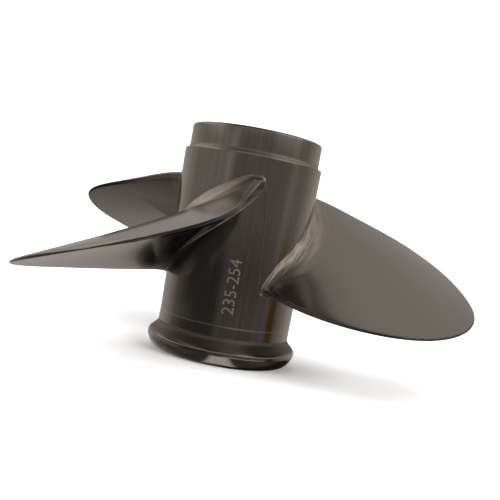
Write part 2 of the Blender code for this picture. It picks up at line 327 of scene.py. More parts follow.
@finish
def turned_steel(tree, look):
    """Polished barrel steel: mirror finish outside, dull casting in the bore.

    The seam and the shoulder's ledge are duller, and a painted highlight makes them lighter. The flare is
    duller, and painted shade makes it darker; the hollow fillet is only duller.
    """
    hub = bpy.context.scene.hub_sizes
    cast_roughness, polish_gain, streak_loss = 0.46, 0.37, 0.05
    seam_loss, flare_loss, hollow_loss = 0.3, 0.40, 0.27
    line_height, streak_height, ridge_height, grit_height = 0.012, 0.05, 5.0, 0.8
    ledge_z, ledge_radius = hub.shoulder_z + 0.35 * MM, hub.spigot_radius + 0.1 * MM
    hollow_low, hollow_high = hub.shoulder_z + 0.3 * MM, hub.shoulder_z + 2.0 * MM
    flare_low, flare_high = hub.flare_foot + 1.2 * MM, hub.flare_top + 0.5 * MM
    angle, radius, z = round_place(tree)
    outside = radius.above(hub.bore + 0.4 * MM, soft=0.3 * MM)
    # Both patterns are drawn out along the barrel, and the lines run round it
    marks = tree.noise(tree.vector(angle * 26.0, 3.0, z * 9.0), detail=4.0, roughness=0.65)
    bands = tree.noise(tree.vector(angle * 9.0, 7.0, z * 4.0), detail=2.0)
    lines = tree.vector(angle * 0.6, radius * 30.0, z * 900.0)
    lines = tree.noise(lines, detail=4.0, roughness=0.6)
    grit = tree.noise(tree.place(), scale=900.0, roughness=0.7)
    streaks = marks.contrast(2.4)
    steel = tree.blend(streaks, colour(look.steel, 0.80), colour(look.steel_light))
    greyer = tree.blend(0.5, steel, colour(look.steel_green))
    steel = tree.blend(bands.contrast(3.0), steel, greyer)
    # Painted shade: the flare is darkened, standing in for the shade that the blades throw into it
    flare = z.above(flare_low, soft=1.6 * MM) * z.below(flare_high, soft=0.8 * MM)
    steel = tree.blend(flare, steel, colour(look.steel, 0.76))
    # Painted highlight: a thin light line just above the shoulder's step, joined to the seam's below
    painted_ledge_highlight = z.near(ledge_z, width=0.45 * MM) * radius.above(ledge_radius, soft=0.2 * MM)
    seam = (z.near(BARREL_AFT - 0.15 * MM, width=0.42 * MM) + painted_ledge_highlight).clamp()
    hollow = z.above(hollow_low, soft=0.3 * MM) * z.below(hollow_high, soft=0.8 * MM)
    # The seam and the line above the shoulder take the lighter ground tint as a painted highlight
    steel = tree.blend(seam, steel, colour(look.ground, 0.95))
    cast = shades(tree, grit, look.cast, 0.7, 1.2)
    ridge = parting_line(tree, angle, z)
    height = outside * (lines * line_height + streaks * streak_height + ridge * ridge_height)
    height = height + (1.0 - outside) * grit * grit_height
    shine = polish_gain - streaks * streak_loss - seam * seam_loss - flare * flare_loss
    return {
        "Base Color": tree.blend(outside, cast, steel),
        "Metallic": 1.0,
        "Roughness": cast_roughness - outside * (shine - hollow * hollow_loss),
        "Normal": tree.bump(height, strength=1.0, distance=0.06 * MM),
    }


@finish
def blade_steel(tree, look):
    """Hand-polished blade steel: ground and lightened by painted sheen along the back's root, and darkened
    by painted shade in the face's hollow.

    Along the root the ground band narrows as the height falls, and it thins out away from the barrel.
    The hollow's edge runs out from the barrel by its slope times the height gained.
    """
    blade = bpy.context.scene.blade_sizes
    ahead_z = blade.mid_z + 8.0 * MM
    hollow_slope = 0.85
    hollow_edge = 1.4 * blade.fillet_reach - hollow_slope * (blade.mid_z - 21.0 * MM)
    polish, mark_loss, cloud_loss, ground_loss, groove_loss = 0.12, 0.05, 0.03, 0.08, 0.22
    mark_height, cloud_height, groove_height = 0.1, 0.6, 8.0
    angle, radius, z = round_place(tree)
    place = tree.place()
    x, y, _ = tree.axes(place)
    marks = tree.vector(x * 3.0 + y, y - x, z * 9.0)
    marks = tree.noise(marks, scale=160.0, detail=4.0, roughness=0.7)
    cloud = tree.noise(place, scale=34.0, roughness=0.6)
    warm = tree.noise(place, scale=13.0, detail=2.0)
    side = tree.node("ShaderNodeAttribute", {"attribute_name": "side"}, output=2)
    face = side.below(0.25, soft=0.3)
    back = side.above(0.75, soft=0.3)
    reach = radius - blade.root_radius
    ahead = z.above(ahead_z, soft=8.0 * MM)
    # The fillet is ground by hand, which leaves it streaky, and painted sheen makes it light
    breadth = blade.fillet_reach * (0.35 + z.above(blade.mid_z, soft=36.0 * MM, gain=0.65))
    ground = (1.25 - reach / breadth).clamp() * (back + ahead * 0.65).clamp()
    wander = tree.noise(place, scale=60.0, detail=2.0)
    grooves = tree.vector(reach * 520.0 + wander * 1.6, z * 30.0, angle * 1.5)
    grooves = tree.noise(grooves, roughness=0.65).contrast(2.6)
    # Painted shade darkens the hollow, which lies behind the middle of the root
    hollow = (reach - hollow_slope * z).below(hollow_edge, soft=3.5 * MM) * face * (1.0 - ahead)
    steel = shades(tree, cloud, look.steel, 0.94, 1.05)
    steel = tree.blend(warm.contrast(3.0, middle=0.24) * 0.5, steel, colour(look.steel_warm))
    # Painted sheen: the streaks run up to the ground tint raised by 1.15, far lighter than the polished
    # steel
    ground_streaks_and_sheen = tree.blend(grooves, colour(look.steel, 0.75), colour(look.ground, 1.15))
    steel = tree.blend(ground, steel, ground_streaks_and_sheen)
    # The painted shade in the hollow is darkest next to the barrel and lightens away from it
    away = reach.above(12.0 * MM, soft=6.0 * MM)
    dark = shades(tree, away, look.steel, 0.24, 0.46)
    steel = tree.blend(hollow, steel, dark)
    # Painted shade: the thin edges are darkened towards the tip
    painted_edge_shade = side.near(0.5, width=0.3) * reach.above(40.0 * MM, soft=20.0 * MM)
    steel = tree.blend(painted_edge_shade, steel, colour(look.steel, 0.3))
    loss = marks * mark_loss + cloud * cloud_loss + ground * (ground_loss + grooves * groove_loss)
    height = marks * mark_height + cloud * cloud_height + ground * grooves * groove_height
    return {
        "Base Color": steel,
        "Metallic": 1.0,
        "Roughness": polish + loss,
        "Normal": tree.bump(height, strength=1.0, distance=0.05 * MM),
    }


@finish
def etched_mark(tree, look):
    """Etched digits: matt and a little rusty against the polish."""
    grain = tree.noise(tree.place(), scale=1500.0, roughness=0.7)
    return {
        "Base Color": shades(tree, grain, look.mark, 0.6, 1.2),
        "Metallic": 0.35,
        "Roughness": 0.55 + grain * 0.2,
        "Normal": tree.bump(grain, strength=0.4, distance=0.04 * MM),
    }


@finish
def cast_steel(tree, look):
    """The unpolished casting of the inner hub and its webs."""
    place = tree.place()
    grit = tree.noise(place, scale=800.0, detail=4.0, roughness=0.7)
    cloud = tree.noise(place, scale=70.0, roughness=0.6)
    return {
        "Base Color": shades(tree, cloud, look.cast, 0.75, 1.25),
        "Metallic": 1.0,
        "Roughness": 0.40 + grit * 0.16,
        "Normal": tree.bump(grit + cloud, strength=0.8, distance=0.12 * MM),
    }


@finish
def bush_rubber(tree, look):
    """Moulded rubber, matt, with a little bloom."""
    place = tree.place()
    grain = tree.noise(place, scale=1400.0, roughness=0.7)
    bloom = tree.noise(place, scale=90.0, roughness=0.6)
    return {
        "Base Color": shades(tree, bloom, look.rubber, 1.0, 2.2),
        "Roughness": 0.62 + bloom * 0.2,
        "Normal": tree.bump(grain, strength=0.5, distance=0.06 * MM),
    }


@finish
def sleeve_brass(tree, look):
    """Broached brass: turned lines outside, drawn lines along the splines."""
    angle, radius, z = round_place(tree)
    drawn = tree.vector(angle * 40.0, radius * 900.0, z * 12.0)
    drawn = tree.noise(drawn, roughness=0.6)
    stain = tree.noise(tree.place(), scale=160.0, roughness=0.6)
    return {
        "Base Color": shades(tree, stain, look.brass, 0.8, 1.15),
        "Metallic": 1.0,
        "Roughness": 0.24 + drawn * 0.14,
        "Normal": tree.bump(drawn, strength=0.5, distance=0.02 * MM),
    }


def grid_quads(rows, columns, start=0):
    """Corner numbers of the quads of a grid of points numbered row by row."""
    index = start + np.arange(rows * columns).reshape(rows, columns)
    corners = [index[:-1, :-1], index[1:, :-1], index[1:, 1:], index[:-1, 1:]]
    return np.stack(corners, axis=-1).reshape(-1, 4)


def add_piece(name, mesh, material, replaced=()):
    """Put a finished mesh round the frame, in the place of the CAD nodes that it replaces."""
    mesh.materials.append(material)
    made = bpy.data.objects.new(name, mesh)
    bpy.context.scene.collection.objects.link(made)
    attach(made, BODY)
    if replaced:
        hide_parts(*replaced)


def skin(name, patches, material, replaced, sharp=40.0, sides=None):
    """Make one closed piece from patches, each a grid of points.

    sides gives a value for each patch, which the materials read as the attribute "side".
    """
    counts = [patch.shape[0] * patch.shape[1] for patch in patches]
    points = np.concatenate([patch.reshape(-1, 3) for patch in patches])
    starts = np.cumsum([0] + counts)
    quads = np.concatenate([grid_quads(*patch.shape[:2], start) for patch, start in zip(patches, starts)])
    mesh = bpy.data.meshes.new(name)
    mesh.from_pydata(points, [], quads)
    if sides:
        mesh.attributes.new("side", "FLOAT", "POINT").data.foreach_set("value", np.repeat(sides, counts))
    work = bmesh.new()
    work.from_mesh(mesh)
    bmesh.ops.remove_doubles(work, verts=work.verts, dist=WELD)
    bmesh.ops.recalc_face_normals(work, faces=work.faces)
    work.to_mesh(mesh)
    work.free()
    mesh.shade_smooth()
    mesh.set_sharp_from_angle(angle=math.radians(sharp))
    add_piece(name, mesh, material, replaced)


def cylindrical(radius, angle, height):
    """Points from radius, angle and height arrays."""
    radius, angle, height = np.broadcast_arrays(radius, angle, height)
    return np.stack([radius * np.cos(angle), radius * np.sin(angle), height], axis=-1)


def turned(profile, steps):
    """Sweep a closed (radius, height) profile once round the shaft line: a grid of profile by angle."""
    closed = np.vstack([profile, profile[:1]])
    turn = np.linspace(0.0, 2.0 * math.pi, steps + 1)[None, :]
    return cylindrical(closed[:, :1], turn, closed[:, 1:])


def arc(centre, radius, start, end, count):
    """Points of a (radius, height) arc, both ends included."""
    turn = np.radians(np.linspace(start, end, count))
    return np.column_stack([centre[0] + radius * np.cos(turn), centre[1] + radius * np.sin(turn)])


def line(start, end, count):
    """Points of a straight line, both ends included."""
    return np.linspace(start, end, count)


def barrel_radius(height):
    """Radius of the barrel's slight cone: a straight line from the seam up to the shoulder."""
    hub = bpy.context.scene.hub_sizes
    share = (height - BARREL_AFT) / (hub.shoulder_z - BARREL_AFT)
    return hub.aft_radius + (BARREL_RADIUS - hub.aft_radius) * share


def barrel_profile(hub):
    """Spigot edge, spigot, hollow fillet, shoulder edge, barrel wall, aft face and bore."""
    step = BARREL_RADIUS - hub.spigot_radius
    nip, shoulder_edge = 0.25 * MM, 0.1 * MM
    top, foot = SPIGOT_TOP, BARREL_AFT
    return np.vstack([
        arc((hub.spigot_radius - hub.edge, top - hub.edge), hub.edge, 90.0, 0.0, 10),
        arc((hub.spigot_radius + step, hub.shoulder_z + step), step, 180.0, 255.0, 14),
        arc((BARREL_RADIUS - shoulder_edge, hub.shoulder_z), shoulder_edge, 75.0, 0.0, 4),
        line((BARREL_RADIUS, hub.shoulder_z - 1.0 * MM), (hub.aft_radius, foot + 1.0 * MM), 40),
        line((hub.aft_radius, foot), (hub.aft_radius - nip, foot), 2),
        line((hub.bore, foot), (hub.bore, top - nip), 24),
        arc((hub.bore + nip, top - nip), nip, 180.0, 90.0, 4),
    ])


def ring_profile(hub):
    """Seam edge, straight wall, S-shaped flare, lip, foot, chamfered mouth and bore.

    The flare swells by 3 s squared less 2 s cubed, s running from its top to its foot. The lip runs in
    to the foot by the lip power of a cosine, and down by the same power of a sine.
    """
    step = np.linspace(0.0, 1.0, 40)
    swell = step * step * (3.0 - 2.0 * step)
    flare = np.column_stack([
        hub.aft_radius + (RING_LIP_RADIUS - hub.aft_radius) * swell,
        hub.flare_top + (hub.flare_foot - hub.flare_top) * step,
    ])
    turn = np.radians(np.linspace(0.0, 90.0, 28))[1:]
    lip = np.column_stack([
        hub.foot_radius + (RING_LIP_RADIUS - hub.foot_radius) * np.cos(turn) ** hub.lip_power,
        hub.lip_z * (1.0 - np.sin(turn) ** hub.lip_power),
    ])
    seam_edge, mouth = 0.15 * MM, 1.0 * MM
    return np.vstack([
        line((hub.aft_radius - seam_edge, BARREL_AFT), (hub.aft_radius, BARREL_AFT - seam_edge), 2),
        flare,
        line((RING_LIP_RADIUS, hub.flare_foot - 0.3 * MM), (RING_LIP_RADIUS, hub.lip_z), 4),
        lip,
        [(hub.bore + mouth, 0.0), (hub.bore, mouth)],
        line((hub.bore, 1.5 * MM), (hub.bore, BARREL_AFT), 6),
    ])


def tube_profile(outer, inner, low, high, bevel):
    """A tube's section: a quarter circle at each corner, outside first."""
    corners = (
        (outer - bevel, high - bevel, 90.0), (outer - bevel, low + bevel, 0.0),
        (inner + bevel, low + bevel, 270.0), (inner + bevel, high - bevel, 180.0),
    )
    return np.vstack([arc((radius, z), bevel, start, start - 90.0, 6) for radius, z, start in corners])


class PROPELLER_OT_barrel(bpy.types.Operator):
    """Build the barrel with its front spigot"""

    bl_idname = "propeller.barrel"
    bl_label = "Barrel"

    def execute(self, context):
        hub = context.scene.hub_sizes
        grid = turned(barrel_profile(hub), steps=256)
        skin("barrel_shell", [grid], turned_steel(), ["hub_barrel"])
        return {"FINISHED"}


def wrap_on_barrel(points, hub):
    """Wrap flat points, x along the text and y up its letters, on the barrel's cone.

    The text runs up the barrel and its letters stand against the turn: the height is x plus the start,
    the angle is the base line's less y over the radius, and z lifts the point off the cone.
    """
    height = hub.mark_z + points[:, 0]
    cone = barrel_radius(height)
    angle = hub.mark_angle - points[:, 1] / cone
    return cylindrical(cone + points[:, 2], angle, height)


def mesh_points(mesh):
    """The mesh's points as an array."""
    points = np.empty(3 * len(mesh.vertices))
    mesh.vertices.foreach_get("co", points)
    return points.reshape(-1, 3)


class PROPELLER_OT_mark(bpy.types.Operator):
    """Build the etched size, a plain number on the barrel"""

    bl_idname = "propeller.mark"
    bl_label = "Size mark"

    def execute(self, context):
        hub = context.scene.hub_sizes
        text = bpy.data.curves.new("size_mark", "FONT")
        text.body = hub.mark_text
        # The number's own size is of no account, since it is fitted to the mark's box below
        text.extrude = 0.5
        text.resolution_u = 4
        flat = bpy.data.objects.new("size_mark_text", text)
        mesh = bpy.data.meshes.new_from_object(flat)
        bpy.data.objects.remove(flat)
        points = mesh_points(mesh)
        low, high = points.min(axis=0), points.max(axis=0)
        size = np.array([hub.mark_length, hub.mark_height, 2.0 * hub.mark_depth])
        points = (points - low) / (high - low) * size - (0.0, 0.0, hub.mark_depth)
        mesh.vertices.foreach_set("co", points.ravel())
        work = bmesh.new()
        work.from_mesh(mesh)
        bmesh.ops.remove_doubles(work, verts=work.verts, dist=0.5 * WELD)
        # Nine cuts along the number let its letters bend with the barrel
        for cut in np.linspace(0.1, 0.9, 9) * hub.mark_height:
            parts = work.verts[:] + work.edges[:] + work.faces[:]
            plane = {"plane_co": (0, cut, 0), "plane_no": (0, 1, 0)}
            bmesh.ops.bisect_plane(work, geom=parts, dist=0.5 * WELD, **plane)
        bmesh.ops.triangulate(work, faces=work.faces)
        bmesh.ops.recalc_face_normals(work, faces=work.faces)
        work.to_mesh(mesh)
        work.free()
        mesh.vertices.foreach_set("co", wrap_on_barrel(mesh_points(mesh), hub).ravel())
        mesh.update()
        mesh.materials.clear()
        add_piece("size_mark", mesh, etched_mark())
        return {"FINISHED"}


class PROPELLER_OT_ring(bpy.types.Operator):
    """Build the flared aft ring"""

    bl_idname = "propeller.ring"
    bl_label = "Flared ring"

    def execute(self, context):
        hub = context.scene.hub_sizes
        grid = turned(ring_profile(hub), steps=256)
        skin("flared_ring", [grid], bpy.data.materials["turned_steel"], ["diffuser_ring"])
        return {"FINISHED"}


# Half the width and the swing of a blade in degrees: terms of the rising powers of the span, and the
# degrees that the root takes off
WIDTH_TERMS, WIDTH_ROOT_LOSS = (49.6, -20.4, 5.6, 17.5), 1.3
SWING_TERMS, SWING_ROOT_LOSS = (0.0, 0.6, 13.0, 3.8, 1.0), 1.6
TIP_POWER = 2.34
# The pitch curve is measured this many degrees from the middle
CURVE_SWING = 50.0
# Powers by which the edge thickens towards the nose, and by which the tip closes
EDGE_POWER = 3
CLOSING_POWER = 90


def power_sum(terms, t):
    """Sum of the terms, each times the next power of t, from 0 up."""
    return sum(term * t ** power for power, term in enumerate(terms))


def half_angle(blade, t):
    """Half of the blade's width in degrees: a cubic in the span t, closed by a round tip."""
    width = power_sum(WIDTH_TERMS, t) - WIDTH_ROOT_LOSS * np.exp(-t / blade.root_reach)
    return width * np.sqrt(np.clip(1.0 - t ** TIP_POWER, 0.0, 1.0))


def skew_angle(blade, t):
    """How far the middle of the blade swings round, in degrees: a quartic in the span t."""
    return power_sum(SWING_TERMS, t) - SWING_ROOT_LOSS * (1.0 - np.exp(-t / blade.root_reach))


def helix_height(blade, t, swing):
    """Height of the screw surface: pitch times swing, both edges raised, drooping towards the tip."""
    root = np.exp(-t / blade.root_reach)
    reach = t * (blade.tip_radius - blade.root_radius)
    pitch = blade.pitch + blade.pitch_gain * t - blade.pitch_loss * t ** 2 - blade.root_pitch_drop * root
    height = blade.mid_z + blade.root_lift * root + pitch * swing / 360.0
    height = height + blade.pitch_curve * (1.0 - root) * (swing / CURVE_SWING) ** 2
    return height - math.tan(blade.rake) * reach - blade.rake_curve * (reach / blade.bend_reach) ** 2


def thickness(blade, t, chord):
    """Half an ellipse over the chord on top of the edges, which thicken from the tail to the nose.

    All of it closes at the tip, by the root of 1 less a high power of the span t.
    """
    nose = blade.nose - blade.nose_thinning * t
    edge = blade.tail + (nose - blade.tail) * (0.5 + 0.5 * chord) ** EDGE_POWER
    full = np.maximum(blade.thickness - blade.thinning * t - edge, 0.0)
    return (edge + full * np.sqrt(1.0 - chord ** 2)) * np.sqrt(1.0 - t ** CLOSING_POWER)


def span_share(blade, radius):
    """The span t of a radius, 0 at the root and 1 at the tip."""
    return np.clip((radius - blade.root_radius) / (blade.tip_radius - blade.root_radius), 0.0, 1.0)


def span_rows(blade, count):
    """Radius of each row, and the share of the root fillet's spread there.

    The share falls along a quarter of an ellipse: 1 minus the square root of 1 less the square of what
    is left of the fillet's reach. The first row lies inside the barrel, and the rows crowd to the tip.
    """
    crowding = 1.7
    turn = np.linspace(0.0, 0.5 * math.pi, 30)
    low = blade.fillet_reach * (1.0 - np.cos(turn))
    full = blade.tip_radius - blade.root_radius + SKIN_GAP
    rise = np.linspace(0.0, 1.0, count)[1:]
    high = blade.fillet_reach + (full - blade.fillet_reach) * (1.0 - (1.0 - rise) ** crowding)
    reach = np.concatenate([[-SKIN_GAP], low, high])[:, None]
    left = np.clip(1.0 - reach / blade.fillet_reach, 0.0, 1.0)
    return blade.root_radius - SKIN_GAP + reach, 1.0 - np.sqrt(1.0 - left ** 2)


def blade_points(blade, radius, share, chord, side):
    """Points of the blade's back (side 1) or face (side 0), off the screw surface along its normal.

    They lie off it by their part of the thickness and by the fillet's spread, which is thinned by the
    square of the chord towards both edges.
    """
    t = span_share(blade, radius)
    run = np.hypot(radius, blade.pitch / (2.0 * math.pi))
    push = share * np.where(chord > 0.0, blade.nose_fillet, blade.tail_fillet)
    swing = skew_angle(blade, t) + (half_angle(blade, t) + np.degrees(push / run)) * chord
    if side:
        sign, part, spread = 1.0, blade.back_share, share * blade.back_fillet
        lost = np.where(chord > 0.0, blade.nose_loss, blade.fillet_thinning)
    else:
        sign, part, spread = -1.0, 1.0 - blade.back_share, share * blade.face_fillet
        lost = blade.fillet_thinning
    spread = spread * (1.0 - lost * chord ** 2)
    offset = sign * (part * thickness(blade, t, chord) + spread)
    helix = np.arctan2(blade.pitch, 2.0 * math.pi * radius)
    angle = np.radians(swing) - offset * np.sin(helix) / radius
    return cylindrical(radius, angle, helix_height(blade, t, swing) + offset * np.cos(helix))


def on_cone(blade, points):
    """Shift a blade's points out or in so that its root follows the barrel's cone.

    The shift is the cone's radius less the root's, times the cube of what is left of the span.
    """
    radius = np.linalg.norm(points[..., :2], axis=-1)
    left = 1.0 - span_share(blade, radius)
    shift = (barrel_radius(points[..., 2]) + SKIN_GAP - blade.root_radius) * left ** 3
    return points * np.stack([1.0 + shift / radius] * 2 + [np.ones_like(shift)], axis=-1)


def rounded_edge(blade, face, back, forward, count=9):
    """Half-round strip from the face's edge to the back's.

    It swells by half the thickness times a sine, across the outline: the lean towards the tip is the
    arc tangent of how fast the outline draws in as the radius grows. It comes in between a quarter and
    half of the span.
    """
    step = np.linspace(0.0, 1.0, count)[None, :, None]
    path = face[:, None, :] * (1.0 - step) + back[:, None, :] * step
    radius = np.linalg.norm(face[:, :2], axis=1)[:, None]
    t = span_share(blade, radius)
    helix = np.arctan2(blade.pitch, 2.0 * math.pi * radius)
    half = 0.5 * np.linalg.norm(back - face, axis=1)[:, None]
    swing = np.arctan2(face[:, 1] + back[:, 1], face[:, 0] + back[:, 0])
    draw = -forward * radius[:, 0] * np.gradient(swing) / np.gradient(radius[:, 0])
    lean = np.arctan(np.maximum(draw, 0.0))[:, None] * np.clip(4.0 * t - 1.0, 0.0, 1.0)
    swell = half * np.sin(math.pi * step[..., 0])
    push = forward * swell * np.cos(lean)
    angle = np.arctan2(path[..., 1], path[..., 0]) + push * np.cos(helix) / radius
    return cylindrical(radius + swell * np.sin(lean), angle, path[..., 2] + push * np.sin(helix))


def blade_patches(blade):
    """The patches of one blade at angle 0: face, back, two edges and the root."""
    radius, share = span_rows(blade, count=110)
    chord = np.sin(np.linspace(-0.5 * math.pi, 0.5 * math.pi, 141))[None, :]
    face = blade_points(blade, radius, share, chord, side=0)
    back = blade_points(blade, radius, share, chord, side=1)
    trailing = rounded_edge(blade, face[:, 0], back[:, 0], forward=-1.0)
    leading = rounded_edge(blade, face[:, -1], back[:, -1], forward=1.0)
    step = np.linspace(0.0, 1.0, trailing.shape[1])[:, None, None]
    root = face[0][None] * (1.0 - step) + back[0][None] * step
    root = cylindrical(radius[0, 0], np.arctan2(root[..., 1], root[..., 0]), root[..., 2])
    root[:, 0] = trailing[0]
    root[:, -1] = leading[0]
    return [on_cone(blade, patch) for patch in (face, back, trailing, leading, root)]


def turn_points(points, angle):
    """Turn points round the shaft line."""
    return points @ np.array(Matrix.Rotation(angle, 3, "Z").transposed())


class PROPELLER_OT_blades(bpy.types.Operator):
    """Build the blades"""

    bl_idname = "propeller.blades"
    bl_label = "Blades"

    def execute(self, context):
        blade = context.scene.blade_sizes
        patches = blade_patches(blade)
        look = blade_steel()
        # Face, back, two edges and the root, in the order of the patches
        sides = (0.0, 1.0, 0.5, 0.5, 0.5)
        for index in range(blade.count):
            angle = blade.first_angle + 2.0 * math.pi * index / blade.count
            turned_patches = [turn_points(patch, angle) for patch in patches]
            name = f"blade_skin_{index + 1}"
            skin(name, turned_patches, look, [f"blade_{index + 1}"], sides=sides)
        return {"FINISHED"}


def web_grid(hub):
    """A web along +X: rounded oblongs across it, which swell by a quarter circle at both ends.

    An oblong is a small circle carried round a box. The box comes from a cosine and a sine that are
    raised and cut off at 1. Both end rows shrink to a point inside the metal that they meet.
    """
    sunk, flat = 0.4 * MM, 0.3 * MM
    side_rise, edge_rise = 2.0, 1.2
    place = np.linspace(CORE_RADIUS - sunk, hub.bore + sunk, 61)[:, None]
    near = np.minimum(place - CORE_RADIUS, hub.bore - place)
    depth = np.clip(hub.web_fillet - near, 0.0, hub.web_fillet)
    swell = hub.web_fillet - np.sqrt(hub.web_fillet ** 2 - depth ** 2)
    half = 0.5 * hub.web_thickness + swell
    tall = 0.5 * (WEB_FRONT - WEB_AFT) + swell
    turn = np.linspace(0.0, 2.0 * math.pi, 97)[None, :]
    bend = 0.5 * hub.web_thickness - flat
    across = (half - bend) * np.clip(side_rise * np.cos(turn), -1.0, 1.0) + bend * np.cos(turn)
    along = (tall - bend) * np.clip(edge_rise * np.sin(turn), -1.0, 1.0) + bend * np.sin(turn)
    across[[0, -1]] = 0.0
    along[[0, -1]] = 0.0
    height = 0.5 * (WEB_FRONT + WEB_AFT) + along
    return np.stack(np.broadcast_arrays(place, across, height), axis=-1)


def sleeve_grid(hub):
    """The sleeve's profile by angle. The bore steps out from the spline tops to the slots."""
    turn = np.linspace(0.0, 2.0 * math.pi, hub.spline_count * 48 + 1)[None, :]
    pitch = 2.0 * math.pi / hub.spline_count
    off = np.abs(np.mod(turn, pitch) - 0.5 * pitch)
    half = 0.5 * hub.spline_width / (0.5 * (hub.spline_top + hub.spline_root))
    flank = 0.03
    slot = np.clip((half - off) / flank + 0.5, 0.0, 1.0)
    bore = hub.spline_top + (hub.spline_root - hub.spline_top) * slot
    nip, sunk, mouth = 0.5 * MM, 1.2 * MM, hub.spline_root + 0.2 * MM
    low, high = SLEEVE_AFT, SLEEVE_FRONT
    rows = [
        (SLEEVE_RADIUS - nip, high), (SLEEVE_RADIUS, high - nip), (SLEEVE_RADIUS, low + nip),
        (SLEEVE_RADIUS - nip, low), (mouth, low), (bore, low + sunk), (bore, high - sunk), (mouth, high),
        (SLEEVE_RADIUS - nip, high),
    ]
    radius = np.concatenate([value * np.ones_like(turn) for value, _ in rows])
    height = np.array([value for _, value in rows])[:, None]
    return cylindrical(radius, turn, height)


class PROPELLER_OT_core(bpy.types.Operator):
    """Build the inner hub and the webs that carry it"""

    bl_idname = "propeller.core"
    bl_label = "Inner hub and webs"

    def execute(self, context):
        hub = context.scene.hub_sizes
        look = cast_steel()
        profile = tube_profile(CORE_RADIUS, hub.core_bore, CORE_AFT, CORE_FRONT, 0.9 * MM)
        skin("inner_hub_casting", [turned(profile, steps=192)], look, ["inner_hub"])
        for index in range(context.scene.blade_sizes.count):
            low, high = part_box(f"rib_{index + 1}")
            grid = turn_points(web_grid(hub), math.atan2(low.y + high.y, low.x + high.x))
            skin(f"web_{index + 1}", [grid], look, [f"rib_{index + 1}"], sharp=60.0)
        return {"FINISHED"}


class PROPELLER_OT_bush(bpy.types.Operator):
    """Build the rubber bush"""

    bl_idname = "propeller.bush"
    bl_label = "Rubber bush"

    def execute(self, context):
        profile = tube_profile(BUSH_RADIUS, SLEEVE_RADIUS + 0.3 * MM, BUSH_AFT, BUSH_FRONT, 0.8 * MM)
        skin("bush_moulding", [turned(profile, steps=160)], bush_rubber(), ["rubber_bush"])
        return {"FINISHED"}


class PROPELLER_OT_sleeve(bpy.types.Operator):
    """Finish the splined sleeve"""

    bl_idname = "propeller.sleeve"
    bl_label = "Splined sleeve"

    def execute(self, context):
        grid = sleeve_grid(context.scene.hub_sizes)
        skin("broached_sleeve", [grid], sleeve_brass(), ["splined_sleeve"], sharp=30.0)
        return {"FINISHED"}


class PROPELLER_OT_stage(bpy.types.Operator):
    """Set the floor, the lights and the camera"""

    bl_idname = "propeller.stage"
    bl_label = "Studio"

    def execute(self, context):
        for make in (make_floor, make_world, make_lights, make_camera):
            make(context)
        return {"FINISHED"}


@finish
def floor_paint(tree, look):
    """Matt paint."""
    return {"Base Color": colour(look.floor), "Roughness": 0.9}


def make_floor(context):
    """A wide pale floor that sweeps up into a backdrop behind the propeller, by a quarter circle."""
    front, reach, bend, top, half_width = -2.5, 2.2, 0.9, 3.5, 4.0
    turn = np.linspace(0.0, 0.5 * math.pi, 24)
    depth = np.concatenate([[front], reach + bend * np.sin(turn), [reach + bend]])
    height = np.concatenate([[0.0], bend * (1.0 - np.cos(turn)), [top]])
    across = np.linspace(-half_width, half_width, 9)
    grid = np.stack(np.broadcast_arrays(across[None, :], depth[:, None], height[:, None]), axis=-1)
    mesh = bpy.data.meshes.new("floor")
    mesh.from_pydata(grid.reshape(-1, 3), [], grid_quads(*grid.shape[:2])[:, ::-1])
    mesh.shade_smooth()
    mesh.materials.append(floor_paint())
    floor = bpy.data.objects.new("floor", mesh)
    floor.visible_glossy = False
    context.scene.collection.objects.link(floor)


def fade(first, second, share):
    """The first value where the share is 0 and the second where it is 1."""
    return (1.0 - share) * first + share * second


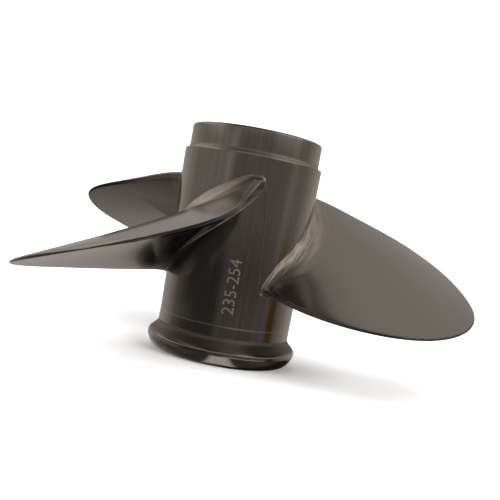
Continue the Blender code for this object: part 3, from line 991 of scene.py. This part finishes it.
class Room:
    """Brightness of the room in each direction round the propeller, as the polish mirrors it.

    x, y and rise are the direction's own parts, so rise is the sine of its height above the level. The
    turn is 0 in front of the propeller and grows to its right, and down is the rise turned over. Each
    part starts from a brightness named here, and soft steps change it by their gains.
    """

    EYE_LEVEL, FAR_FLOOR = 0.15, 0.028
    BENCH, BENCH_END, BENCH_SHADOW = 0.06, 0.05, 0.06
    WALL, CEILING = 0.42, 0.09
    TOP_LIGHT, TOP_SHADE = 0.26, 0.09
    SCREEN, SCREEN_FOOT = 0.44, 0.03

    def __init__(self, tree):
        self.x, self.y, self.rise = tree.axes(tree.node("ShaderNodeTexCoord", output="Generated"))
        self.turn = tree.node("ShaderNodeMath", {"operation": "ARCTAN2"}, {0: self.x, 1: -1.0 * self.y})
        self.leftward, self.down = -1.0 * self.turn, -1.0 * self.rise
        self.left = self.leftward.above(0.52, soft=0.07)
        self.right = ((self.turn - 0.75) / 1.2).clamp()
        self.sunk = self.down.above(0.06, soft=0.08)

    def eye_level(self):
        """The dark room in front: lighter on both sides, with a bright strip on each."""
        strips = self.turn.near(-0.68, width=0.06, gain=0.10) + self.turn.near(1.28, width=0.2, gain=0.08)
        return self.EYE_LEVEL + self.left * 0.11 + self.right * 0.08 + strips

    def far_floor(self):
        """Just below eye level: darkest on the left of the middle."""
        level = self.FAR_FLOOR + self.down.above(0.135, soft=0.05, gain=0.014)
        level += self.turn.above(-0.3, soft=0.2, gain=0.05)
        level += self.turn.near(-0.19, width=0.12, gain=0.02)
        level += self.right * fade(0.12, 0.05, self.down.above(0.165, soft=0.03))
        level += (self.leftward - 1.3).clamp() * 0.2
        return level + self.leftward.above(1.1, soft=0.3, gain=0.13) * self.down.above(0.18, soft=0.04)

    def bench(self):
        """The bench, lit on the right."""
        lit = self.turn.above(0.12, soft=0.25, gain=0.55) * self.turn.below(1.3, soft=0.3)
        level = fade(self.BENCH + lit, self.BENCH_END, self.down.above(0.42, soft=0.06))
        return level + self.leftward.above(1.2, soft=0.3, gain=0.12)

    def near_bench(self):
        """The bench right in front of the propeller, pale between two dark shadows."""
        aside = (self.x - 0.03).absolute()
        level = self.BENCH_SHADOW + aside.below(0.22, soft=0.08) * 0.64
        return level + aside.above(0.55, soft=0.1, gain=0.02)

    def wall(self):
        """A pale wall above eye level, darker on the left of the middle, under a dark ceiling."""
        level = self.WALL - self.turn.near(-0.75, width=0.35, gain=0.25)
        level += self.leftward.above(1.1, soft=0.3, gain=0.38)
        return fade(level, self.CEILING + self.right * 0.2, self.rise.above(0.50, soft=0.3))

    def top_light(self):
        """The soft light over the back: brighter on both sides, and dark overhead on the left."""
        level = self.TOP_LIGHT + self.x.above(0.05, soft=0.3, gain=0.10)
        level += self.x.below(-0.14, soft=0.1) * self.rise.above(0.22, soft=0.1, gain=0.14)
        return fade(level, self.TOP_SHADE, self.rise.above(0.80, soft=0.2) * self.x.below(-0.02, soft=0.12))

    def front(self, top):
        """Everything in front, from the bench up to the top light."""
        level = fade(self.eye_level(), self.far_floor(), self.sunk)
        level = fade(level, self.bench(), self.down.above(0.24, soft=0.06))
        level = fade(level, self.near_bench(), self.down.above(0.5, soft=0.12) * self.y.below(0.3, soft=0.2))
        level = fade(level, self.wall(), self.rise.above(0.23 - self.left * 0.03, soft=0.07))
        return fade(level, top, self.rise.above(0.4, soft=0.3) * self.y.above(-0.2, soft=0.3))

    def behind(self, top):
        """The pale screen behind: deep down it darkens on the left and goes black on the right."""
        deep = self.SCREEN_FOOT + self.y * 0.30 + self.y.above(0.70, soft=0.1, gain=0.09)
        deep = deep * (1.0 - self.x.above(0.05, soft=0.08, gain=0.94))
        level = fade(self.SCREEN, deep, self.down.above(0.26, soft=0.2))
        return fade(level, top, self.rise.above(0.17, soft=0.14))

    def spot(self, aim, edge, soft, gain):
        """A round soft spot: a soft step of the dot product with its direction."""
        return (self.x * aim[0] + self.y * aim[1] + self.rise * aim[2]).above(edge, soft, gain)


WARM_TINT = (1.0, 0.91, 0.84, 1.0)
TOP_TINT = (1.0, 0.94, 0.875, 1.0)
AMBER_TINT = (0.62, 0.33, 0.10, 1.0)


def make_world(context):
    """Soft room light round the propeller.

    A wide warm screen stands behind it, a darker room in front, and a soft light fills the top at the
    back. Two soft spots stand high on the right and on the left, and an amber strip low on the right.
    """
    world = bpy.data.worlds.new("studio")
    context.scene.world = world
    tree = Tree(world)
    room = Room(tree)
    screen = room.turn.absolute().above(2.02, soft=0.12 + room.rise.below(0.2, soft=0.2) * 0.5)
    top = room.top_light()
    level = fade(room.front(top), room.behind(top), screen)
    right_spot = room.spot((0.80, -0.42, 0.43), edge=0.88, soft=0.16, gain=0.35)
    level += right_spot * room.rise.above(0.2, soft=0.12)
    level += room.spot((-0.52, 0.48, 0.71), edge=0.93, soft=0.09, gain=0.30)
    amber = room.turn.near(1.47, width=0.18, gain=2.0).clamp() * room.sunk
    amber = amber * room.down.below(0.3, soft=0.1) * (1.0 - screen)
    tint = tree.blend(room.rise.above(0.36, soft=0.30), WARM_TINT, TOP_TINT)
    back = tree.nodes["Background"]
    tree.plug(back.inputs["Color"], tree.blend(amber, tint, AMBER_TINT))
    tree.plug(back.inputs["Strength"], level)


def make_lights(context):
    """Wide lights that only fill the floor and the backdrop. The polish shows the world alone."""
    centre = (0.0, 0.0, 0.0)
    for name, place, target, size, power in (
        ("fill", (0.0, 0.0, 3.0), centre, (4.0, 4.0), 130.0),
        ("wash", (0.0, 0.6, 2.2), (0.0, 3.1, 1.0), (5.0, 1.0), 70.0),
        ("left_fill", (-2.2, -1.2, 0.9), centre, (2.4, 1.6), 120.0),
        ("right_fill", (2.2, -1.2, 0.9), centre, (2.4, 1.6), 120.0),
    ):
        data = bpy.data.lights.new(name, "AREA")
        data.shape = "RECTANGLE"
        data.size, data.size_y = size
        data.energy = power
        made = bpy.data.objects.new(name, data)
        made.location = place
        made.rotation_mode = "QUATERNION"
        made.rotation_quaternion = (Vector(target) - Vector(place)).to_track_quat("-Z", "Y")
        made.visible_glossy = False
        context.scene.collection.objects.link(made)


# The camera stands this far from the shaft line, and this high
CAMERA_DISTANCE = 330.9 * MM
CAMERA_HEIGHT = 67.4 * MM
# It looks to the right, down and leaning by these degrees
CAMERA_YAW = 1.52
CAMERA_PITCH = 6.14
CAMERA_ROLL = 10.46
# The lens, in pixels of the square frame, and the sensor in millimetres
FOCAL_PIXELS = 683.0
CENTRE_PIXEL = (248.0, 292.5)
FRAME_PIXELS = 500.0
SENSOR = 36.0


def make_camera(context):
    """The camera at the photograph's viewing angle, rolled as the photograph is."""
    data = bpy.data.cameras.new("camera")
    data.sensor_width = SENSOR
    data.lens = FOCAL_PIXELS * SENSOR / FRAME_PIXELS
    data.shift_x = (0.5 * FRAME_PIXELS - CENTRE_PIXEL[0]) / FRAME_PIXELS
    data.shift_y = (CENTRE_PIXEL[1] - 0.5 * FRAME_PIXELS) / FRAME_PIXELS
    data.clip_start = 0.01
    camera = bpy.data.objects.new("camera", data)
    yaw, pitch, roll = (math.radians(angle) for angle in (-CAMERA_YAW, 90.0 - CAMERA_PITCH, CAMERA_ROLL))
    turn = Matrix.Rotation(yaw, 4, "Z") @ Matrix.Rotation(pitch, 4, "X") @ Matrix.Rotation(roll, 4, "Z")
    camera.matrix_world = Matrix.Translation((0.0, -CAMERA_DISTANCE, CAMERA_HEIGHT)) @ turn
    context.scene.collection.objects.link(camera)
    context.scene.camera = camera
    context.scene.view_settings.view_transform = "Standard"


class PROPELLER_PT_panel(bpy.types.Panel):
    """Lists the steps that build the propeller"""

    bl_idname = "PROPELLER_PT_panel"
    bl_label = "Propeller"
    bl_space_type = "VIEW_3D"
    bl_region_type = "UI"
    bl_category = "Propeller"

    def draw(self, context):
        for step in STEPS:
            self.layout.operator(step.bl_idname)
        for group in (context.scene.hub_sizes, context.scene.blade_sizes, context.scene.finish_colours):
            box = self.layout.box()
            for key in group.__annotations__:
                box.prop(group, key)


STEPS = (
    PROPELLER_OT_barrel,
    PROPELLER_OT_mark,
    PROPELLER_OT_ring,
    PROPELLER_OT_blades,
    PROPELLER_OT_core,
    PROPELLER_OT_bush,
    PROPELLER_OT_sleeve,
    PROPELLER_OT_stage,
)
GROUPS = {"hub_sizes": HubSizes, "blade_sizes": BladeSizes, "finish_colours": FinishColours}


def register():
    for group in GROUPS.values():
        bpy.utils.register_class(group)
    for key, group in GROUPS.items():
        setattr(bpy.types.Scene, key, PointerProperty(type=group))
    for step in (*STEPS, PROPELLER_PT_panel):
        bpy.utils.register_class(step)


def unregister():
    for step in reversed((*STEPS, PROPELLER_PT_panel)):
        bpy.utils.unregister_class(step)
    for key in GROUPS:
        delattr(bpy.types.Scene, key)
    for group in reversed(GROUPS.values()):
        bpy.utils.unregister_class(group)


def main():
    """Register the add-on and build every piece."""
    register()
    for step in STEPS:
        group, action = step.bl_idname.split(".")
        getattr(getattr(bpy.ops, group), action)()


if __name__ == "__main__":
    main()
